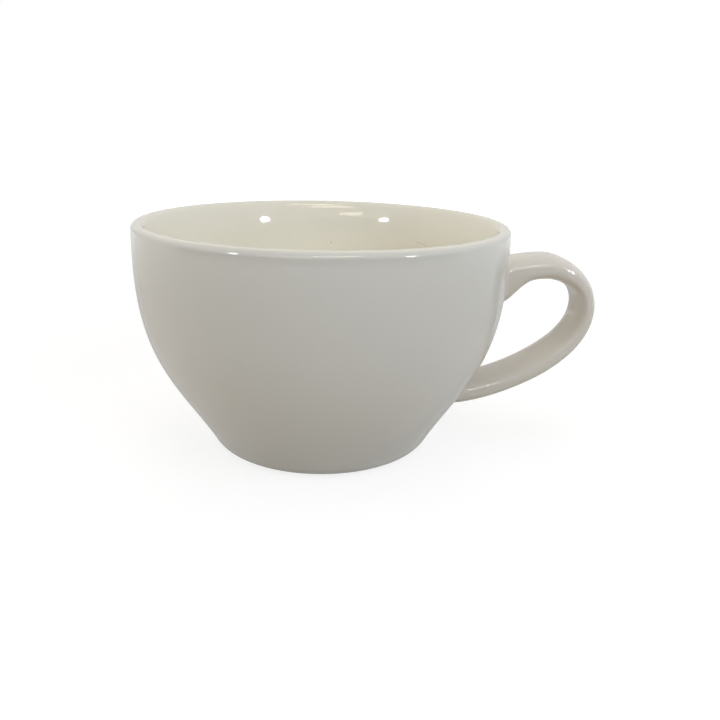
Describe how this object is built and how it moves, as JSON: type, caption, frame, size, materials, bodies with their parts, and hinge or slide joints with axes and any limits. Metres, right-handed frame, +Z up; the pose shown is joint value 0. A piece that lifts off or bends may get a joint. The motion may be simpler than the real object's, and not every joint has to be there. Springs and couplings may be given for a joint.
{
  "type": "cappuccino cup",
  "caption": "Wide, round-bellied cappuccino cup on a small foot, with a rounded lip, a broad strap handle and a warm white glaze.",
  "frame": {"origin": "centre of the foot ring, on the surface that the cup stands on", "axes": "+X out through the handle, +Z up along the bowl's axis, +Y across the handle"},
  "size_m": [0.1259, 0.1, 0.0619],
  "materials": {
    "fired_clay": "bare, fine, matt",
    "fired_slip": "bare, fine, matt",
    "bowl_glaze": "glossy, warm white",
    "handle_glaze": "glossy, warm white"
  },
  "bodies": {
    "root": {"bowl": "fired_clay", "handle": "fired_clay", "upper_joint": "fired_slip", "lower_joint": "fired_slip", "bowl_glaze": "bowl_glaze", "handle_glaze": "handle_glaze", "underside_glaze": "bowl_glaze"}
  },
  "joints": []
}
